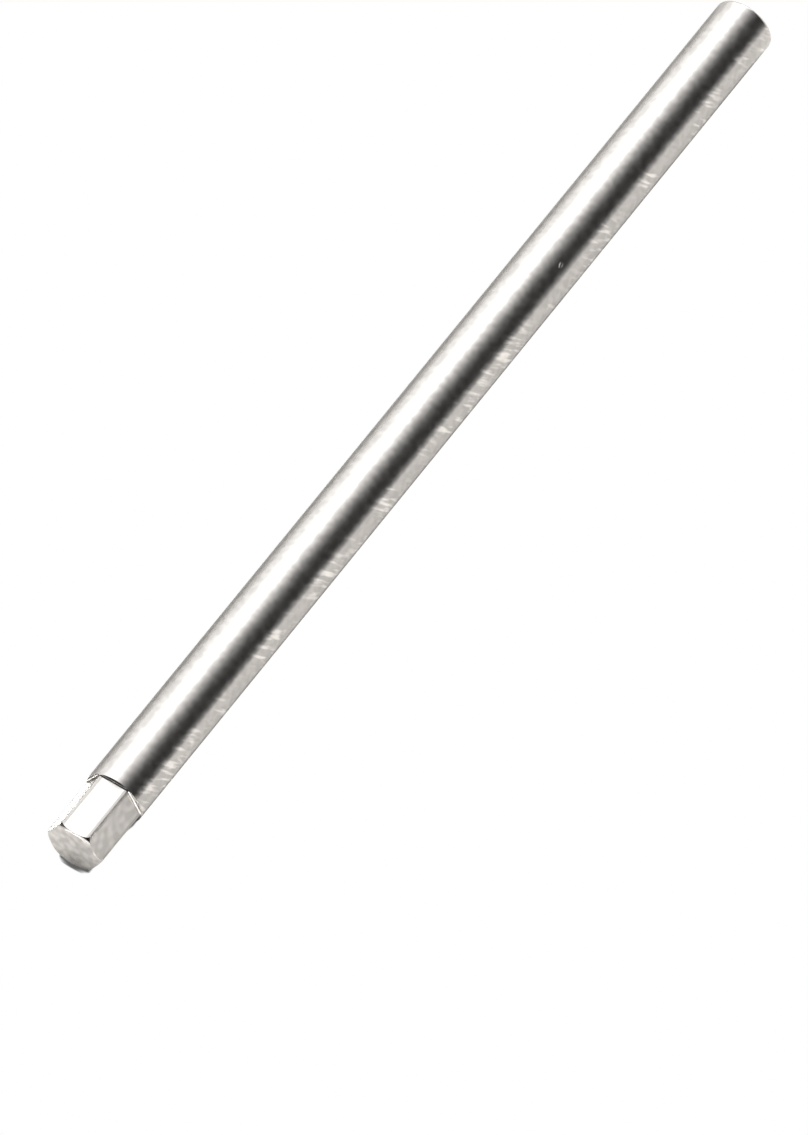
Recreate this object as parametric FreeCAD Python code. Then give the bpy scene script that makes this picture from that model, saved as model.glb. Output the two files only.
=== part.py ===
import FreeCAD, Part
import math
import os

# A spinal fixation rod: one straight, round metal bar with a hexagonal drive on one end.
#
# The rod is a single machined piece. Its shaft is round and plain over its whole length, so that screw heads
# can clamp it anywhere. One end is milled to six flats for a wrench, and the other end is cut square with its
# edge rounded.
#
# The rod lies along X with the drive at -X and the plain end at +X. The origin is the middle of the overall
# length, on the rod's axis. One flat of the drive faces straight up, +Z. Lengths are in millimetres.

# Shaft
ROD_DIAMETER = 3.5
ROD_LENGTH = 65.0          # overall, drive included
END_ROUND = 0.2            # radius on the edge of the plain end

# Hexagonal drive
DRIVE_LENGTH = 3.9         # tip face to shoulder
DRIVE_ACROSS_FLATS = 3.0
DRIVE_FLATS = 6
CORNER_ROUND = 0.1         # radius on the edges between the flats
ROOT_RADIUS = 0.12         # left by the cutter where the flats end at the shoulder
TIP_ROUND = 0.45           # radius turned on the bar's end, which the flats cut back to the corners

# How far the milling cutter's shape reaches past the part
CUTTER_REACH = 1.0

# Worked out from the sizes above
ROD_RADIUS = ROD_DIAMETER / 2
TIP_X = -ROD_LENGTH / 2
SHOULDER_X = TIP_X + DRIVE_LENGTH
PLAIN_X = ROD_LENGTH / 2
FLAT_HEIGHT = DRIVE_ACROSS_FLATS / 2
HALF_TURN = 180 / DRIVE_FLATS      # degrees from the middle of a flat to the nearest corner

AXIS_POINT = FreeCAD.Vector(0, 0, 0)
AXIS = FreeCAD.Vector(1, 0, 0)


def in_section(x, height):
    """A point in the plane that holds the rod's axis, at a height above that axis."""
    return FreeCAD.Vector(x, 0, height)


def across(turn, distance):
    """A point at the tip, at a distance from the axis, turned from straight up by so many degrees."""
    angle = math.radians(turn)
    return FreeCAD.Vector(TIP_X, distance * math.sin(angle), distance * math.cos(angle))


def chain(*points):
    """Straight edges from each point to the next."""
    return [Part.LineSegment(a, b).toShape() for a, b in zip(points, points[1:])]


def closed_face(edges):
    """The flat face that a closed run of edges bounds."""
    return Part.Face(Part.Wire(Part.__sortEdges__(edges)))


def quarter_round(centre, towards, radius):
    """The rounded edge of an end, from its flat face up to the bar's side. Towards is -1 or 1, along X."""
    reach = radius * math.cos(math.radians(45))
    return Part.Arc(
        in_section(centre.x + towards * radius, centre.z),
        in_section(centre.x + towards * reach, centre.z + reach),
        in_section(centre.x, centre.z + radius),
    ).toShape()


def turned_blank():
    """The bar as it leaves the lathe, with both of its ends rounded."""
    tip = in_section(TIP_X + TIP_ROUND, ROD_RADIUS - TIP_ROUND)
    plain = in_section(PLAIN_X - END_ROUND, ROD_RADIUS - END_ROUND)
    ends = chain(
        in_section(PLAIN_X, plain.z),
        in_section(PLAIN_X, 0),
        in_section(TIP_X, 0),
        in_section(TIP_X, tip.z),
    )
    side = chain(in_section(tip.x, ROD_RADIUS), in_section(plain.x, ROD_RADIUS))
    rounds = [quarter_round(tip, -1, TIP_ROUND), quarter_round(plain, 1, END_ROUND)]
    return closed_face(ends + side + rounds).revolve(AXIS_POINT, AXIS, 360)


def drive_outline():
    """The drive's cross-section at the tip: equal flats joined by rounded corners."""
    centre_distance = (FLAT_HEIGHT - CORNER_ROUND) / math.cos(math.radians(HALF_TURN))
    corners = []
    for index in range(DRIVE_FLATS):
        turn = HALF_TURN + index * 2 * HALF_TURN
        centre = across(turn, centre_distance)
        corners.append([centre + across(turn + side * HALF_TURN, CORNER_ROUND) - across(0, 0) for side in (-1, 0, 1)])
    edges = []
    for corner, following in zip(corners, corners[1:] + corners[:1]):
        edges.append(Part.Arc(*corner).toShape())
        edges.append(Part.LineSegment(corner[-1], following[0]).toShape())
    return closed_face(edges)


def drive_cutter():
    """Everything the cutter takes off: a ring around the drive, rounded where it meets the shoulder."""
    start_x = TIP_X - CUTTER_REACH
    length = SHOULDER_X - start_x
    ring = Part.makeCylinder(ROD_RADIUS + CUTTER_REACH, length, FreeCAD.Vector(start_x, 0, 0), AXIS)
    core = drive_outline()
    core.translate(AXIS * -CUTTER_REACH)
    ring = ring.cut(core.extrude(AXIS * length))
    (shoulder,) = [face for face in ring.Faces if abs(face.CenterOfMass.x - SHOULDER_X) < 1e-6]
    (inner,) = [wire for wire in shoulder.Wires if not wire.isSame(shoulder.OuterWire)]
    return ring.makeFillet(ROOT_RADIUS, inner.Edges)


def make_rod():
    """The finished rod as one solid."""
    (solid,) = turned_blank().cut(drive_cutter()).Solids
    return solid


os.makedirs("parts", exist_ok=True)
rod = make_rod()
rod.exportStep("parts/rod.step")
box = rod.optimalBoundingBox(False, False)
print(f"rod: valid {rod.isValid()}, {rod.Volume:.2f} mm3, {len(rod.Faces)} faces")
print(f"box: {box.XLength:.3f} x {box.YLength:.3f} x {box.ZLength:.3f} mm")
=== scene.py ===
# %% [markdown]
# # A spinal fixation rod
#
# A surgeon joins the screws in a spine with a metal rod like this one. It is a plain ground bar, 3.5 mm thick and
# 65 mm long. One end is milled to a short hexagon, which a wrench holds, and the other end is cut square.
#
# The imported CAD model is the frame: it gives the rod's place and its box. Everything in Blender is in metres.

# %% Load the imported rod
import math

import bpy
from mathutils import Matrix, Vector
from mathutils.bvhtree import BVHTree


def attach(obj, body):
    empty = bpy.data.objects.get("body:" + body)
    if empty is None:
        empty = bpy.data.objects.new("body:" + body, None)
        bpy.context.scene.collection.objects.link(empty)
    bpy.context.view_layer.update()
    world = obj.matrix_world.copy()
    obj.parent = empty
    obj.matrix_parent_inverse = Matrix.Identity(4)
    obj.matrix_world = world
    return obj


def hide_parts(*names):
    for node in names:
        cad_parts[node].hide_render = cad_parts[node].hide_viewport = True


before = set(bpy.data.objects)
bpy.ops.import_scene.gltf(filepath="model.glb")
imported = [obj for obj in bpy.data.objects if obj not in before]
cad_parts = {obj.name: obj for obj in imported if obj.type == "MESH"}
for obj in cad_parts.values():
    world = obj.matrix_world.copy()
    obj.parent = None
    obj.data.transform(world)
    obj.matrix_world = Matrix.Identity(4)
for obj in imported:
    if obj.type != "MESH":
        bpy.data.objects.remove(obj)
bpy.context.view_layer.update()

MM = 0.001

# %% [markdown]
# ## The camera
#
# The rod was photographed from far off with a long lens, so its two ends look equally thick. The camera stands over
# the drive end and looks down at the table, and it is turned a little about its own line of sight. Azimuth,
# elevation and roll are easier to read than a matrix, so the matrix is worked out from them.

# %% Place the camera
AZIMUTH = math.radians(59.41)       # from straight in front of the rod towards its drive end
ELEVATION = math.radians(55.77)
ROLL = math.radians(3.49)
DISTANCE = 1106.88 * MM
AIM = (-0.51 * MM, -7.30 * MM)      # what the middle of the picture shows, right and up from the rod's middle
LENS, SENSOR_WIDTH = 659.4, 36      # in mm
CLIP = (0.1, 10)                    # nearest and farthest that it sees, in metres


def camera_axes():
    """The camera's right, up and backward directions."""
    level = math.cos(ELEVATION)
    back = Vector((-math.sin(AZIMUTH) * level, -math.cos(AZIMUTH) * level, math.sin(ELEVATION)))
    right = Vector((0, 0, 1)).cross(back).normalized()
    turn = Matrix.Rotation(ROLL, 3, back)
    return turn @ right, turn @ back.cross(right), back


def add_camera():
    """A long lens, at the photographed distance and angle."""
    right, up, back = camera_axes()
    data = bpy.data.cameras.new("camera")
    data.lens = LENS
    data.sensor_width = SENSOR_WIDTH
    data.clip_start, data.clip_end = CLIP
    camera = bpy.data.objects.new("camera", data)
    turn = Matrix((right, up, back)).transposed().to_4x4()
    camera.matrix_world = Matrix.Translation(back * DISTANCE + right * AIM[0] + up * AIM[1]) @ turn
    bpy.context.collection.objects.link(camera)
    bpy.context.scene.camera = camera
    return camera


camera = add_camera()
print("camera at", [round(v, 4) for v in camera.location])

# %% [markdown]
# ## Finishes
#
# Titanium is a slightly warm grey metal that mirrors about half of the light. A colour is written as its sRGB hex
# value and turned to the linear value that the shader works in. Nodes are added by one small function.

# %% Colour and node helpers
def linear(hex_colour):
    """An sRGB hex colour as linear red, green, blue and alpha."""
    channels = [int(hex_colour[i:i + 2], 16) / 255 for i in (1, 3, 5)]
    return [c / 12.92 if c <= 0.04045 else ((c + 0.055) / 1.055) ** 2.4 for c in channels] + [1.0]


def add_node(tree, kind, settings=None, **inputs):
    """Adds one node. A tuple (node, socket) among the inputs is linked, and anything else is set as a value.

    An input is called by its name, with _ for a space, or by its number, as in _0."""
    node = tree.nodes.new(kind)
    for name, value in (settings or {}).items():
        setattr(node, name, value)
    for name, value in inputs.items():
        socket = node.inputs[int(name[1:])] if name[1:].isdigit() else node.inputs[name.replace("_", " ")]
        if isinstance(value, tuple) and isinstance(value[0], bpy.types.Node):
            tree.links.new(value[0].outputs[value[1]], socket)
        else:
            socket.default_value = value
    return node


def new_material(name):
    """An empty material, its node tree and its output node."""
    material = bpy.data.materials.new(name)
    material.use_nodes = True
    material.node_tree.nodes.clear()
    return material, material.node_tree, material.node_tree.nodes.new("ShaderNodeOutputMaterial")


print("#808080 in linear light:", round(linear("#808080")[0], 3))

# %% [markdown]
# The metal's marks come from three noises. Short slanting ticks, gathered in patches, are where the shaft was rubbed
# along one side. They run round the bar as they go along it, so their noise is read from a place that is twisted
# about the rod's axis. Spots are the faint blotches of a machined face, and they change its tone, gloss and height.

# %% Titanium
TITANIUM = "#BAB7B4"
ROD_RADIUS = 1.75
TICK_LENGTH, TICK_WIDTH, PATCH = 0.85, 0.4, 2.4     # sizes of the ticks and of their patches, in mm
SLANT = 1.2                     # how far the ticks run round the bar for each step along it
RUBBED_Y = (-1.05, -1.35)       # where the rubbed side begins, and where the ticks are in full strength, in mm
TICK_NOISE = (0.5, 0.66)        # noise at which a tick begins, and at which it is in full strength
PATCH_NOISE = (0.42, 0.6)       # the same for a patch
BETWEEN_PATCHES = 0.15          # strength of the ticks outside the patches
SPOT_NOISE = (0.3, 0.7)         # noise at a spot's darkest and at its lightest
SPOT_GLOSS = 0.1                # share by which spots change the roughness, to either side


def titanium(name, roughness, ticks, spots, spot_size, depth, pale=1.0):
    """Bare titanium alloy. Ticks and spots are how much those marks change its tone, and pale is its tone without
    them, where 1 is the alloy's own. A pale above 1 paints light into the tone, and one below 1 paints shade. Spot
    size and depth are in mm."""
    material, tree, output = new_material(name)
    place = add_node(tree, "ShaderNodeTexCoord")
    axes = add_node(tree, "ShaderNodeSeparateXYZ", Vector=(place, "Object"))
    twist = add_node(tree, "ShaderNodeMath", {"operation": "MULTIPLY"}, _0=(axes, "X"),
                     _1=-SLANT / (ROD_RADIUS * MM))
    straight = add_node(tree, "ShaderNodeVectorRotate", {"rotation_type": "X_AXIS"}, Vector=(place, "Object"),
                        Angle=(twist, 0))
    noises = []
    for source, length, width, detail in (((straight, 0), TICK_LENGTH, TICK_WIDTH, 1.0),
                                          ((place, "Object"), PATCH, PATCH, 1.0),
                                          ((place, "Object"), spot_size, spot_size, 0.0)):
        scaled = add_node(tree, "ShaderNodeVectorMath", {"operation": "MULTIPLY"}, _0=source,
                          _1=(1 / (length * MM), 1 / (width * MM), 1 / (width * MM)))
        noises.append(add_node(tree, "ShaderNodeTexNoise", Vector=(scaled, 0), Scale=1.0, Detail=detail))
    tick = add_node(tree, "ShaderNodeMapRange", Value=(noises[0], 0), From_Min=TICK_NOISE[0],
                    From_Max=TICK_NOISE[1])
    patch = add_node(tree, "ShaderNodeMapRange", Value=(noises[1], 0), From_Min=PATCH_NOISE[0],
                     From_Max=PATCH_NOISE[1], To_Min=BETWEEN_PATCHES)
    spot = add_node(tree, "ShaderNodeMapRange", Value=(noises[2], 0), From_Min=SPOT_NOISE[0],
                    From_Max=SPOT_NOISE[1], To_Min=-0.5, To_Max=0.5)
    side = add_node(tree, "ShaderNodeMapRange", Value=(axes, "Y"), From_Min=RUBBED_Y[0] * MM,
                    From_Max=RUBBED_Y[1] * MM)
    marks = add_node(tree, "ShaderNodeMath", {"operation": "MULTIPLY"}, _0=(tick, 0), _1=(patch, 0))
    marks = add_node(tree, "ShaderNodeMath", {"operation": "MULTIPLY"}, _0=(marks, 0), _1=(side, 0))
    spotted = add_node(tree, "ShaderNodeMath", {"operation": "MULTIPLY_ADD"}, _0=(spot, 0), _1=spots, _2=pale)
    tone = add_node(tree, "ShaderNodeMath", {"operation": "MULTIPLY_ADD"}, _0=(marks, 0), _1=ticks,
                    _2=(spotted, 0))
    colour = add_node(tree, "ShaderNodeVectorMath", {"operation": "SCALE"}, _0=linear(TITANIUM)[:3],
                      Scale=(tone, 0))
    bump = add_node(tree, "ShaderNodeBump", Height=(spot, 0), Distance=depth * MM)
    dull = add_node(tree, "ShaderNodeMapRange", Value=(spot, 0), From_Min=-0.5, From_Max=0.5,
                    To_Min=roughness * (1 - SPOT_GLOSS), To_Max=roughness * (1 + SPOT_GLOSS))
    metal = add_node(tree, "ShaderNodeBsdfPrincipled", Base_Color=(colour, 0), Metallic=1.0, Roughness=(dull, 0),
                     Normal=(bump, 0))
    tree.links.new(metal.outputs["BSDF"], output.inputs["Surface"])
    return material


# %% The five finishes
# Ground and polished: a soft mirror, rubbed in short slanting marks along one side
ground = titanium("titanium_ground_and_polished", 0.22, ticks=0.62, spots=0.16, spot_size=0.36, depth=0.0006)
# Milled: duller, blotchy where the cutter smeared the metal, and painted a little lighter as painted light
milled = titanium("titanium_milled", 0.34, ticks=0.0, spots=0.32, spot_size=0.42, depth=0.004, pale=1.1)
# The milled corners: rubbed dull when the burr was taken off, and painted lighter as painted light
rubbed = titanium("titanium_rubbed_edge", 0.6, ticks=0.0, spots=0.3, spot_size=0.38, depth=0.003, pale=1.2)
# Turned across the ends: finer than the milled flats, as blotchy, and painted lighter as painted light
turned = titanium("titanium_turned", 0.2, ticks=0.0, spots=0.36, spot_size=0.36, depth=0.0025, pale=1.14)
# The root of the flats and the shoulder: cut by the mill's corner, and painted darker there as shade in the recess
cut = titanium("titanium_cut_root_painted_shade", 0.2, ticks=0.0, spots=0.3, spot_size=0.36, depth=0.002, pale=0.72)

FINISHES = (ground, milled, rubbed, turned, cut)
GROUND, MILLED, RUBBED, TURNED, CUT = range(len(FINISHES))
for finish in FINISHES:
    print(finish.name)

# %% [markdown]
# ## The rod's shape
#
# All sizes are the real ones. The drive's cross-section is a hexagon with slightly rounded corners, and the same
# sixth of the rod repeats six times about its axis. So one sixth is worked out point by point, and Geometry Nodes
# repeat it.

# %% Sizes in mm
TIP_X, PLAIN_X = -32.5, 32.5
END_ROUND = 0.2
SHOULDER_X = TIP_X + 3.9
FLAT_HEIGHT = 1.5
CORNER_ROUND = 0.1
ROOT_RADIUS = 0.12
TIP_ROUND = 0.45
FLATS = 6
TIP_RADIUS = ROD_RADIUS - TIP_ROUND
HALF_TURN = math.pi / FLATS
print("tip face:", round(2 * TIP_RADIUS, 2), "mm across, shoulder at x =", SHOULDER_X)

# %% Columns of the drive's section
FLAT_STEPS = 50
CORNER_STEPS = 4
SUPPORT = 0.02      # width of the strip that keeps a flat face's shading flat up to its edge


def section_columns():
    """Points round one sixth of the hexagon, each with the outward direction there, as (y, z) pairs."""
    centre_distance = (FLAT_HEIGHT - CORNER_ROUND) / math.cos(HALF_TURN)
    corner = Vector((centre_distance * math.sin(HALF_TURN), centre_distance * math.cos(HALF_TURN)))
    half = [(Vector((corner.x, FLAT_HEIGHT)), Vector((0, 1)))]
    for step in range(1, CORNER_STEPS + 1):
        angle = HALF_TURN * step / CORNER_STEPS
        out = Vector((math.sin(angle), math.cos(angle)))
        half.append((corner + out * CORNER_ROUND, out))
    inner = corner.x - SUPPORT
    flat = [(Vector((-inner + 2 * inner * i / FLAT_STEPS, FLAT_HEIGHT)), Vector((0, 1)))
            for i in range(FLAT_STEPS + 1)]
    mirrored = [(Vector((-p.x, p.y)), Vector((-n.x, n.y))) for p, n in reversed(half)]
    return mirrored + flat + half


columns = section_columns()
print("columns in one sixth:", len(columns))

# %% [markdown]
# A column runs from the middle of the tip's face, along the drive and the shaft, to the middle of the plain end's
# face. Every column has as many points as the next, so neighbours join into rows of faces. Where two faces meet
# sharply, a softened edge catches a thin line of light, as it does on the real rod.

# %% Points of a column
TIP_STEPS, ROOT_STEPS, END_STEPS, SOFT_STEPS = 10, 8, 10, 5
TIP_RING, END_RING = 0.5 * TIP_RADIUS, 0.8      # radius of the ring of points in the middle of each end's face
FLAT_SOFT, RIM_SOFT = 0.015, 0.02     # how far the edges of the flats and of the shaft are softened, to either side
RIM_SHARE = 0.55                      # the most of the shoulder's height that the rim's softening takes
SUPPORT_SHARE = 0.4                   # share of a softened edge's reach by which its support points lie past it
HALVINGS = 50                         # steps of a search that halves the range each time
SHAFT_X, END_X = SHOULDER_X + 0.3, PLAIN_X - END_ROUND - SUPPORT      # first and last ring of points on the shaft
SHAFT_STEP = 1.5
DENT_X, DENT_REACH, DENT_STEP = 12.64, 0.36, 0.03      # the dent's place, and the close rings round it


def at(x, section_point):
    """A point of the section, moved along the rod to x."""
    return Vector((x, section_point.x, section_point.y))


def on_circle(x, radius, angle):
    """A point at x, so far from the axis, turned from straight up by an angle."""
    return Vector((x, radius * math.sin(angle), radius * math.cos(angle)))


def softened(before, corner, after, reach, finish, finish_after):
    """Points round a softened edge, with a support point on each side of it."""
    back, ahead = (before - corner).normalized(), (after - corner).normalized()
    start, end = corner + back * reach, corner + ahead * reach
    support = reach + SUPPORT_SHARE * min(reach, SUPPORT)
    points = [(corner + back * support, finish)]
    for i in range(SOFT_STEPS + 1):
        t = i / SOFT_STEPS
        point = start * (1 - t) ** 2 + corner * 2 * t * (1 - t) + end * t ** 2
        points.append((point, finish if i < SOFT_STEPS else finish_after))
    return points + [(corner + ahead * support, finish_after)]


# %% Tip and root
def tip_points(point):
    """Points over the tip's face and up its turned edge, which ends where it meets the drive's section."""
    angle = math.atan2(point.x, point.y)
    points = [Vector((TIP_X, 0, 0)), on_circle(TIP_X, TIP_RING, angle),
              on_circle(TIP_X, TIP_RADIUS - SUPPORT, angle)]
    reach = math.asin((point.length - TIP_RADIUS) / TIP_ROUND)
    for step in range(TIP_STEPS + 1):
        t = reach * step / TIP_STEPS
        x, radius = TIP_X + TIP_ROUND * (1 - math.cos(t)), TIP_RADIUS + TIP_ROUND * math.sin(t)
        points.append(on_circle(x, radius, angle))
    return points


def root_end(point, out):
    """How far the root's quarter round gets, in radians, before it meets the shaft's own surface."""
    low, high = 0.0, math.pi / 2
    if (point + out * ROOT_RADIUS).length <= ROD_RADIUS:
        return high
    for _ in range(HALVINGS):
        middle = (low + high) / 2
        if (point + out * ROOT_RADIUS * (1 - math.cos(middle))).length < ROD_RADIUS:
            low = middle
        else:
            high = middle
    return low


def root_points(point, out):
    """Points up the root's quarter round, and the point on the rim above them, where the shaft begins."""
    end = root_end(point, out)
    meets_shaft = end < math.pi / 2
    steps = ROOT_STEPS + meets_shaft
    points = []
    for step in range(steps + 1):
        t = end * step / steps
        x = SHOULDER_X - ROOT_RADIUS * (1 - math.sin(t))
        points.append(at(x, point + out * ROOT_RADIUS * (1 - math.cos(t))))
    if meets_shaft:
        return points[:-1], points[-1]
    return points, on_circle(SHOULDER_X, ROD_RADIUS, math.atan2(points[-1].y, points[-1].z))


print("degrees that the root turns at a corner and at a flat's middle:",
      [round(math.degrees(root_end(*columns[i]))) for i in (0, len(columns) // 2)])

# %% Shaft and plain end
def shaft_stations():
    """Where rings go along the shaft: close together round the dent, and elsewhere well apart."""
    first, last = DENT_X - DENT_REACH, DENT_X + DENT_REACH
    stations = []
    for start, end, step in ((SHAFT_X, first, SHAFT_STEP), (first, last, DENT_STEP), (last, END_X, SHAFT_STEP)):
        count = max(1, round((end - start) / step))
        stations += [start + (end - start) * i / count for i in range(count)]
    return stations + [END_X]


def end_column(turn):
    """Points over the plain end's rounded edge and its face, each with the finish of the face that follows it."""
    column = []
    for step in range(END_STEPS + 1):
        t = math.pi / 2 * step / END_STEPS
        x = PLAIN_X - END_ROUND * (1 - math.sin(t))
        finish = GROUND if step < END_STEPS else TURNED
        column.append((on_circle(x, ROD_RADIUS - END_ROUND * (1 - math.cos(t)), turn), finish))
    return column + [(on_circle(PLAIN_X, ROD_RADIUS - END_ROUND - SUPPORT, turn), TURNED),
                     (on_circle(PLAIN_X, END_RING, turn), TURNED), (Vector((PLAIN_X, 0, 0)), TURNED)]


def rod_column(point, out, turn):
    """Every point of one column, each with the finish of the face that follows it. Its angle on the shaft is turn."""
    tip = tip_points(point)
    flat_edge = tip.pop()
    root_start = at(SHOULDER_X - ROOT_RADIUS, point)
    root, rim = root_points(point, out)
    ahead = Vector((PLAIN_X, rim.y, rim.z))
    rim_soft = min(RIM_SOFT, RIM_SHARE * (rim - root[-1]).length)
    column = [(p, TURNED) for p in tip]
    column += softened(tip[-1], flat_edge, root_start, FLAT_SOFT, TURNED, MILLED)
    column.append((root_start - Vector((SUPPORT, 0, 0)), MILLED))
    # The root and the softened rim above it take the cut finish, which is painted darker as shade
    column += [(p, CUT) for p in root]
    column += softened(root[-1], rim, ahead, rim_soft, CUT, GROUND)
    column += [(on_circle(x, ROD_RADIUS, turn), GROUND) for x in shaft_stations()]
    return column + end_column(turn)


print("rings along the shaft:", len(shaft_stations()))

# %% One sixth of the rod
RUBBED_COLUMNS = CORNER_STEPS + 4     # how many columns of faces, from the middle of a corner, are rubbed dull


def rod_sixth():
    """A mesh of one sixth of the rod, as a sheet with open sides."""
    count = len(columns)
    grid = [rod_column(point, out, HALF_TURN * (2 * i / (count - 1) - 1)) for i, (point, out) in enumerate(columns)]
    rows = len(grid[0])
    assert all(len(column) == rows for column in grid)
    vertices = [p * MM for column in grid for p, _ in column]
    faces, finishes = [], []
    for i in range(count - 1):
        on_corner = min(i, count - 2 - i) < RUBBED_COLUMNS
        for j in range(rows - 1):
            a = i * rows + j
            faces.append((a, a + rows, a + rows + 1, a + 1))
            finishes.append(RUBBED if on_corner and grid[i][j][1] == MILLED else grid[i][j][1])
    mesh = bpy.data.meshes.new("rod_sixth")
    mesh.from_pydata(vertices, [], faces)
    mesh.materials.append(ground)
    mesh.attributes.new("finish", "INT", "FACE").data.foreach_set("value", finishes)
    return mesh


sixth = rod_sixth()
print("faces in one sixth:", len(sixth.polygons))

# %% [markdown]
# ## Six sixths make the rod
#
# A Geometry Nodes tree places copies of the sheet round the X axis, makes them real and welds them into one closed
# skin. The same tree presses a small dent into the shaft. Set Material comes last, because only real geometry keeps
# its material when the model is exported.

# %% The dent
def dent_offset(tree, given):
    """Node that says how far each point moves towards the axis, in a small long dent on the shaft.

    The shaft's surface is unrolled: along and around are a point's distances from the middle of the dent, and far
    is its distance in lengths and widths of the dent, where 0.5 is the dent's edge."""
    position = add_node(tree, "GeometryNodeInputPosition")
    axes = add_node(tree, "ShaderNodeSeparateXYZ", Vector=(position, 0))
    outward = add_node(tree, "ShaderNodeCombineXYZ", Y=(axes, "Y"), Z=(axes, "Z"))
    side = add_node(tree, "ShaderNodeMath", {"operation": "MULTIPLY"}, _0=(axes, "Y"), _1=-1.0)
    turn = add_node(tree, "ShaderNodeMath", {"operation": "ARCTAN2"}, _0=(side, 0), _1=(axes, "Z"))
    off = add_node(tree, "ShaderNodeMath", {"operation": "SUBTRACT"}, _0=(turn, 0), _1=(given, "Dent Turn"))
    along = add_node(tree, "ShaderNodeMath", {"operation": "SUBTRACT"}, _0=(axes, "X"), _1=(given, "Dent Place"))
    around = add_node(tree, "ShaderNodeMath", {"operation": "MULTIPLY"}, _0=(off, 0), _1=ROD_RADIUS * MM)
    flat = add_node(tree, "ShaderNodeCombineXYZ", X=(along, 0), Y=(around, 0))
    level = add_node(tree, "ShaderNodeVectorRotate", {"rotation_type": "Z_AXIS"}, Vector=(flat, 0),
                     Angle=(given, "Dent Tilt"))
    size = add_node(tree, "ShaderNodeCombineXYZ", X=(given, "Dent Length"), Y=(given, "Dent Width"), Z=1.0)
    share = add_node(tree, "ShaderNodeVectorMath", {"operation": "DIVIDE"}, _0=(level, 0), _1=(size, 0))
    far = add_node(tree, "ShaderNodeVectorMath", {"operation": "LENGTH"}, _0=(share, 0))
    squared = add_node(tree, "ShaderNodeMath", {"operation": "MULTIPLY"}, _0=(far, "Value"), _1=(far, "Value"))
    deep = add_node(tree, "ShaderNodeMapRange", Value=(squared, 0), From_Min=0.0, From_Max=0.5 ** 2, To_Min=1.0,
                    To_Max=0.0)
    depth = add_node(tree, "ShaderNodeMath", {"operation": "MULTIPLY"}, _0=(deep, 0), _1=(given, "Dent Depth"))
    inward = add_node(tree, "ShaderNodeMath", {"operation": "DIVIDE"}, _0=(depth, 0), _1=-ROD_RADIUS * MM)
    return add_node(tree, "ShaderNodeVectorMath", {"operation": "SCALE"}, _0=(outward, 0), Scale=(inward, 0))


# %% The tree that repeats the sixth
LENGTHS_AND_ANGLES = ("Weld", "Dent Place", "Dent Turn", "Dent Tilt", "Dent Length", "Dent Width", "Dent Depth")


def repeat_tree():
    """Copies a sheet round the X axis and welds the copies."""
    tree = bpy.data.node_groups.new("repeat_round_axis", "GeometryNodeTree")
    sockets = {}
    for name, kind in (("Geometry", "NodeSocketGeometry"), ("Copies", "NodeSocketInt"),
                       *((size, "NodeSocketFloat") for size in LENGTHS_AND_ANGLES)):
        sockets[name] = tree.interface.new_socket(name, in_out="INPUT", socket_type=kind).identifier
    tree.interface.new_socket("Geometry", in_out="OUTPUT", socket_type="NodeSocketGeometry")
    given = add_node(tree, "NodeGroupInput")
    places = add_node(tree, "GeometryNodePoints", Count=(given, "Copies"))
    index = add_node(tree, "GeometryNodeInputIndex")
    step = add_node(tree, "ShaderNodeMath", {"operation": "DIVIDE"}, _0=2 * math.pi, _1=(given, "Copies"))
    angle = add_node(tree, "ShaderNodeMath", {"operation": "MULTIPLY"}, _0=(index, 0), _1=(step, 0))
    turn = add_node(tree, "ShaderNodeCombineXYZ", X=(angle, 0))
    copies = add_node(tree, "GeometryNodeInstanceOnPoints", Points=(places, 0), Instance=(given, "Geometry"),
                      Rotation=(turn, 0))
    real = add_node(tree, "GeometryNodeRealizeInstances", Geometry=(copies, 0))
    welded = add_node(tree, "GeometryNodeMergeByDistance", Geometry=(real, 0), Distance=(given, "Weld"))
    dented = add_node(tree, "GeometryNodeSetPosition", Geometry=(welded, 0), Offset=(dent_offset(tree, given), 0))
    smooth = add_node(tree, "GeometryNodeSetShadeSmooth", Geometry=(dented, 0))
    finish = add_node(tree, "GeometryNodeInputNamedAttribute", {"data_type": "INT"}, Name="finish")
    painted = add_node(tree, "GeometryNodeSetMaterial", Geometry=(smooth, 0), Material=ground)
    for number in (MILLED, RUBBED, TURNED, CUT):
        chosen = add_node(tree, "FunctionNodeCompare", {"data_type": "INT", "operation": "EQUAL"}, _2=(finish, 0),
                          _3=number)
        painted = add_node(tree, "GeometryNodeSetMaterial", Geometry=(painted, 0), Selection=(chosen, 0),
                           Material=FINISHES[number])
    output = add_node(tree, "NodeGroupOutput")
    tree.links.new(painted.outputs[0], output.inputs[0])
    return tree, sockets


# %% The rod
def made_real(name, mesh, tree, values):
    """Runs a tree on a mesh and returns the result as a plain object."""
    source = bpy.data.objects.new(name + "_source", mesh)
    bpy.context.collection.objects.link(source)
    modifier = source.modifiers.new("nodes", "NODES")
    modifier.node_group = tree
    for identifier, value in values.items():
        modifier[identifier] = value
    evaluated = source.evaluated_get(bpy.context.evaluated_depsgraph_get())
    result = bpy.data.meshes.new_from_object(evaluated)
    source.modifiers.remove(modifier)
    bpy.data.objects.remove(source)
    piece = bpy.data.objects.new(name, result)
    result.name = name
    bpy.context.collection.objects.link(piece)
    return piece


tree, sockets = repeat_tree()
sizes = {
    "Copies": FLATS, "Weld": 1e-4 * MM, "Dent Place": DENT_X * MM, "Dent Turn": math.radians(37),
    "Dent Tilt": math.radians(14), "Dent Length": 0.5 * MM, "Dent Width": 0.25 * MM, "Dent Depth": 0.038 * MM}
rod = made_real("rod_body", sixth, tree, {sockets[name]: value for name, value in sizes.items()})
print("faces of each finish:",
      {m.name: sum(p.material_index == i for p in rod.data.polygons) for i, m in enumerate(rod.data.materials)})
print("rod:", len(rod.data.vertices), "points,", len(rod.data.polygons), "faces")

# %% Hand the piece to the frame
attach(rod, "root")
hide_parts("rod")

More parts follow.
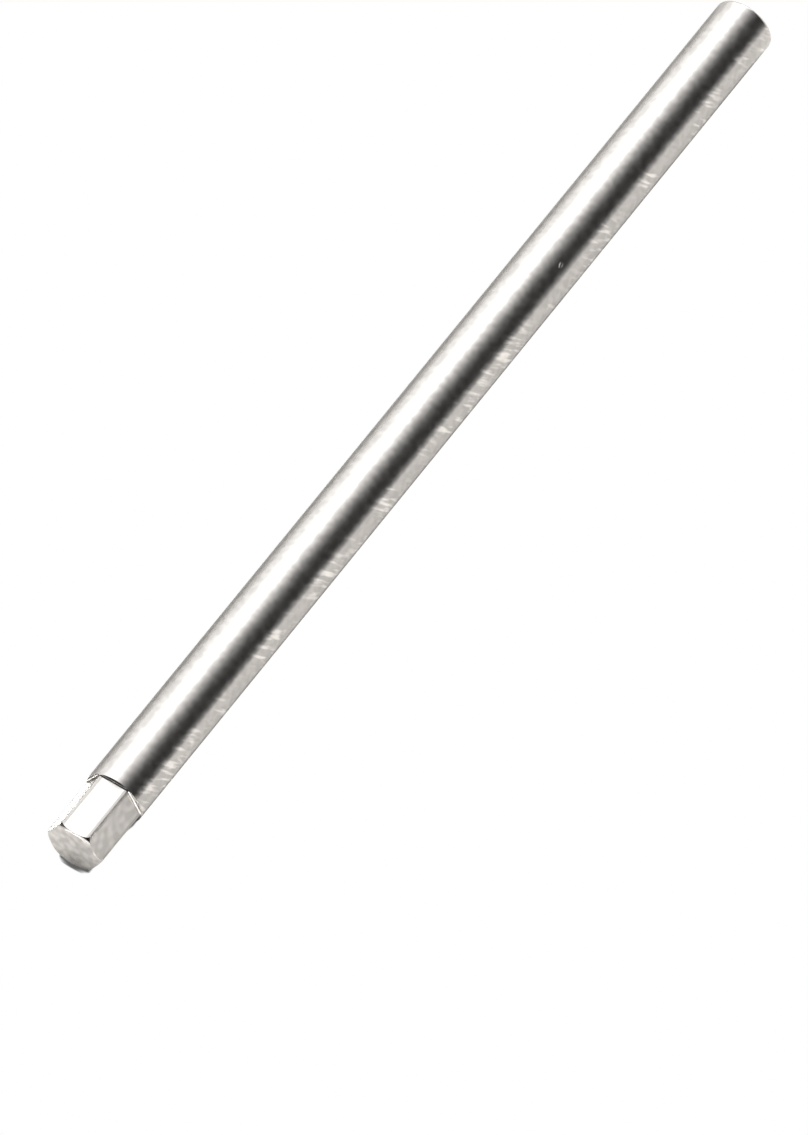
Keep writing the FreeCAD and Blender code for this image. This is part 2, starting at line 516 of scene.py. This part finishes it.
# %% [markdown]
# ## The studio
#
# Polished metal shows what stands round it, so the studio is as important as the rod. The table is white. A light
# tent, a half sphere that glows inside, stands over it. It is bright overhead and behind the rod, and dark on the
# camera's side, which gives the rod its white band and its dark band.
#
# The camera sees the table as plain white, with a narrow dark shadow where the rod all but touches it. Each point of
# the table knows its distance to the rod, and the shadow follows from that.

# %% Table
STUDIO_RADIUS = 600 * MM        # of the tent, and from the middle of the table to its sides
PAPER = "#EBE9E6"               # matt paper, white with a slightly warm tinge
MIRRORED_GAIN = 1.17            # how much whiter the paper is in the metal
# Painted shade: near the rod the paper's colour is darkened where the metal mirrors it, by how open each point is
CREVICE_SHADE_REACH = 1.23                  # how far from the rod, in mm, the paper is darker in the metal
CREVICE_SHADE_OPEN = (0.4, 1.0)       # how open a point is where the paper is darkest, and where it is white
CREVICE_SHADE_DARK, SHADE_DARK = 0.1, 0.12     # what is left of the white in the darkest crevice, and in the shadow
SHADE = (0.255, 0.35)           # gap in mm under the raised drive and under the shaft in which the shadow is full
SHADE_FADE = 0.045              # and the further gap over which it fades
FINE_ACROSS, FINE_ALONG = (4, 0.1), (36, 0.25)     # reach and step of the fine part of the table's grid, in mm


def grid_lines(reach, step):
    """Where lines of the table's grid run: close together under the rod, and far apart elsewhere."""
    count = round(2 * reach / step)
    fine = [-reach + 2 * reach * i / count for i in range(count + 1)]
    return [-STUDIO_RADIUS / MM, -2 * reach] + fine + [2 * reach, STUDIO_RADIUS / MM]


def shade_reach(x):
    """The gap up to which the contact shadow is full. It widens from 1 mm behind the tip to the shoulder."""
    share = min(1, max(0, (x - TIP_X - 1) / (SHOULDER_X - TIP_X - 1)))
    return SHADE[0] + (SHADE[1] - SHADE[0]) * share


def table_mesh(body):
    """A flat grid under the rod. Each of its points knows how far it is past the full contact shadow."""
    across, along = grid_lines(*FINE_ACROSS), grid_lines(*FINE_ALONG)
    points = [Vector((x, y, -ROD_RADIUS)) * MM for x in along for y in across]
    row = len(across)
    faces = [(i * row + j, (i + 1) * row + j, (i + 1) * row + j + 1, i * row + j + 1)
             for i in range(len(along) - 1) for j in range(row - 1)]
    mesh = bpy.data.meshes.new("table")
    mesh.from_pydata(points, [], faces)
    surface = BVHTree.FromPolygons([v.co for v in body.vertices], [tuple(p.vertices) for p in body.polygons])
    past = [surface.find_nearest(point)[3] - shade_reach(point.x / MM) * MM for point in points]
    mesh.attributes.new("past_shade", "FLOAT", "POINT").data.foreach_set("value", past)
    return mesh


def add_table():
    """A white table top under the rod."""
    material, tree, output = new_material("table_white")
    path = add_node(tree, "ShaderNodeLightPath")
    mirrored = add_node(tree, "ShaderNodeMath", {"operation": "MAXIMUM"}, _0=(path, "Is Glossy Ray"),
                        _1=(path, "Is Transmission Ray"))
    # Painted shade in the paper as the metal mirrors it: darker where the rod closes a point in
    crevice = add_node(tree, "ShaderNodeAmbientOcclusion", {"samples": 4}, Distance=CREVICE_SHADE_REACH * MM)
    crevice_shade = add_node(tree, "ShaderNodeMapRange", Value=(crevice, "AO"), From_Min=CREVICE_SHADE_OPEN[0],
                   From_Max=CREVICE_SHADE_OPEN[1], To_Min=CREVICE_SHADE_DARK)
    white = add_node(tree, "ShaderNodeMath", {"operation": "MULTIPLY"}, _0=(crevice_shade, 0), _1=MIRRORED_GAIN)
    gain = add_node(tree, "ShaderNodeMapRange", Value=(mirrored, 0), To_Min=1.0, To_Max=(white, 0))
    colour = add_node(tree, "ShaderNodeVectorMath", {"operation": "SCALE"}, _0=linear(PAPER)[:3],
                      Scale=(gain, 0))
    paper = add_node(tree, "ShaderNodeBsdfDiffuse", Color=(colour, 0))
    past = add_node(tree, "ShaderNodeAttribute", {"attribute_name": "past_shade"})
    shade = add_node(tree, "ShaderNodeMapRange", Value=(past, "Fac"), From_Min=0.0, From_Max=SHADE_FADE * MM,
                     To_Min=SHADE_DARK)
    seen = add_node(tree, "ShaderNodeEmission", Color=(1, 1, 1, 1), Strength=(shade, 0))
    surface = add_node(tree, "ShaderNodeMixShader", _0=(path, "Is Camera Ray"), _1=(paper, 0), _2=(seen, 0))
    tree.links.new(surface.outputs[0], output.inputs["Surface"])
    mesh = table_mesh(rod.data)
    mesh.materials.append(material)
    table = bpy.data.objects.new("table", mesh)
    bpy.context.collection.objects.link(table)
    print("table:", len(mesh.polygons), "faces")
    return table


table = add_table()

# %% Light tent
# Brightness of the tent along a half circle over the rod: degrees from overhead towards the camera's side, and
# the light there, where 1 is white paper
TENT_ACROSS = ((-90, 1.5), (-78, 1.68), (-64, 1.95), (-50, 2.9), (-21, 2.9), (-14, 2.0), (-9, 1.58), (-4, 1.28),
               (3, 0.9), (10, 0.6), (17, 0.39), (24, 0.23), (31, 0.13), (38, 0.084), (46, 0.06), (58, 0.05),
               (66, 0.055), (72, 0.12), (78, 0.3), (84, 0.57), (90, 0.74))
TENT_MAX = 2.9                          # the brightest of these
TENT_ON_TABLE = 0.75                    # share of its light that the tent gives to the table
TENT_RINGS, TENT_STEPS = 24, 64
# Places in the tent are in shares of its radius
LAG = math.radians(5.5)                 # how far its bands turn to the camera's side before the first x of these:
LAG_X = (0.436, 0.483)                  # the shaft mirrors the first near its drive end, and the last at its middle
DIM_X, DIM_LIGHT = (-0.25, 0.3), 0.03   # before the first x the tent is this dim, and past the last it is in full
FOOT_Z, FOOT_LIGHT = (0.05, 0.22), 0.9  # a low band of light round its foot fades out between these heights
FOOT_FRONT = (-0.75, -0.35)             # that band fades in between these y
FOOT_BACK = (0.3, 0.7)                  # and out again between these, so it stands at the two ends of the rod


def tent_cloth():
    """Cloth that glows, brighter in some places of the tent than in others."""
    material, tree, output = new_material("tent_cloth")
    place = add_node(tree, "ShaderNodeTexCoord")
    axes = add_node(tree, "ShaderNodeSeparateXYZ", Vector=(place, "Object"))
    side = add_node(tree, "ShaderNodeMath", {"operation": "MULTIPLY"}, _0=(axes, "Y"), _1=-1.0)
    angle = add_node(tree, "ShaderNodeMath", {"operation": "ARCTAN2"}, _0=(side, 0), _1=(axes, "Z"))
    lag = add_node(tree, "ShaderNodeMapRange", Value=(axes, "X"), From_Min=LAG_X[0] * STUDIO_RADIUS,
                   From_Max=LAG_X[1] * STUDIO_RADIUS, To_Min=LAG, To_Max=0.0)
    angle = add_node(tree, "ShaderNodeMath", {"operation": "SUBTRACT"}, _0=(angle, 0), _1=(lag, 0))
    share = add_node(tree, "ShaderNodeMapRange", Value=(angle, 0), From_Min=-math.pi / 2, From_Max=math.pi / 2)
    across = add_node(tree, "ShaderNodeValToRGB", Fac=(share, 0))
    ramp = across.color_ramp
    ramp.interpolation = "LINEAR"
    while len(ramp.elements) > 1:
        ramp.elements.remove(ramp.elements[-1])
    for i, (degrees, light) in enumerate(TENT_ACROSS):
        element = ramp.elements[0] if i == 0 else ramp.elements.new(0.5 + degrees / 180)
        element.position = 0.5 + degrees / 180
        element.color = (light / TENT_MAX, light / TENT_MAX, light / TENT_MAX, 1)
    fades = []
    for axis, (start, end), light, light_after in (("X", DIM_X, DIM_LIGHT, 1.0), ("Z", FOOT_Z, FOOT_LIGHT, 0.0),
                                                   ("Y", FOOT_FRONT, 0.0, 1.0), ("Y", FOOT_BACK, 1.0, 0.0)):
        fades.append(add_node(tree, "ShaderNodeMapRange", {"interpolation_type": "SMOOTHSTEP"}, Value=(axes, axis),
                              From_Min=start * STUDIO_RADIUS, From_Max=end * STUDIO_RADIUS, To_Min=light,
                              To_Max=light_after))
    along, rise, front, back = fades
    power = add_node(tree, "ShaderNodeMath", {"operation": "MULTIPLY"}, _0=(across, 0), _1=(along, 0))
    sides = add_node(tree, "ShaderNodeMath", {"operation": "MULTIPLY"}, _0=(front, 0), _1=(back, 0))
    foot = add_node(tree, "ShaderNodeMath", {"operation": "MULTIPLY"}, _0=(rise, 0), _1=(sides, 0))
    light = add_node(tree, "ShaderNodeMath", {"operation": "MAXIMUM"}, _0=(power, 0), _1=(foot, 0))
    path = add_node(tree, "ShaderNodeLightPath")
    strength = add_node(tree, "ShaderNodeMapRange", Value=(path, "Is Diffuse Ray"), To_Min=TENT_MAX,
                        To_Max=TENT_MAX * TENT_ON_TABLE)
    light = add_node(tree, "ShaderNodeMath", {"operation": "MULTIPLY"}, _0=(light, 0), _1=(strength, 0))
    glow = add_node(tree, "ShaderNodeEmission", Color=(1, 1, 1, 1), Strength=(light, 0))
    tree.links.new(glow.outputs[0], output.inputs["Surface"])
    material.cycles.emission_sampling = "NONE"
    return material


def tent_mesh():
    """A half sphere that stands on the table."""
    points = []
    for i in range(TENT_RINGS + 1):
        lift = math.pi / 2 * i / TENT_RINGS
        for j in range(TENT_STEPS):
            turn = 2 * math.pi * j / TENT_STEPS
            points.append((STUDIO_RADIUS * math.cos(lift) * math.cos(turn),
                           STUDIO_RADIUS * math.cos(lift) * math.sin(turn),
                           STUDIO_RADIUS * math.sin(lift) - ROD_RADIUS * MM))
    faces = []
    for i in range(TENT_RINGS):
        for j in range(TENT_STEPS):
            a, b = i * TENT_STEPS + j, i * TENT_STEPS + (j + 1) % TENT_STEPS
            faces.append((a, a + TENT_STEPS, b + TENT_STEPS, b))
    mesh = bpy.data.meshes.new("light_tent")
    mesh.from_pydata(points, [], faces)
    return mesh


def add_tent():
    """A half sphere over the table that glows inside. The camera looks through it."""
    mesh = tent_mesh()
    mesh.materials.append(tent_cloth())
    tent = bpy.data.objects.new("light_tent", mesh)
    tent.visible_camera = False
    bpy.context.collection.objects.link(tent)
    print("tent:", len(mesh.polygons), "faces")
    return tent


tent = add_tent()

# %% [markdown]
# The metal shows the table as well. Four lamps light the table and stay out of the metal themselves, so a lamp shows
# in the rod only as the patch of paper that it brightens.

# %% Lamps
def add_lamp(name, place, target, size, power, spread=180):
    """A soft round or oval lamp. Places and sizes are in mm, its power in watts, its spread in degrees."""
    data = bpy.data.lights.new(name, "AREA")
    data.shape = "ELLIPSE"
    data.size, data.size_y = (length * MM for length in size)
    data.spread = math.radians(spread)
    data.energy = power
    lamp = bpy.data.objects.new(name, data)
    lamp.visible_glossy = False
    lamp.visible_camera = False
    away = Vector(place) - Vector(target)
    lamp.matrix_world = Matrix.Translation(Vector(place) * MM) @ away.to_track_quat("Z", "Y").to_matrix().to_4x4()
    bpy.context.collection.objects.link(lamp)
    return lamp


# Low in front of the rod: it throws the rod's shadow on the table behind, and the far edge mirrors that shadow
key = add_lamp("key", (-150, -460, 153), (0, 0, 0), (150, 150), 5.2)
# Over the table in front of the tip: the rounded edge of the tip mirrors its pool of light
tip_pool = add_lamp("tip_pool", (-47, 3, 2.25), (-47, 3, 0), (16, 8), 0.0009, spread=50)
# Just over the table behind the drive: the flat on that side mirrors it
flat_pool = add_lamp("flat_pool", (-29.15, 3.5, -1.2), (-29.15, 3.5, -2), (4.5, 1.5), 0.00007, spread=20)
# Over the table in front of the drive: the shoulder mirrors it
shoulder_pool = add_lamp("shoulder_pool", (-35.2, -12, 3), (-35.2, -12, 0), (5, 10), 0.0017, spread=60)
print("lamps:", key.name, tip_pool.name, flat_pool.name, shoulder_pool.name)

# %% White background beyond the table
world = bpy.data.worlds.new("white_room")
world.use_nodes = True
world.node_tree.nodes["Background"].inputs["Color"].default_value = (1, 1, 1, 1)
bpy.context.scene.world = world
bpy.context.scene.view_settings.view_transform = "Standard"
print("world:", world.name)
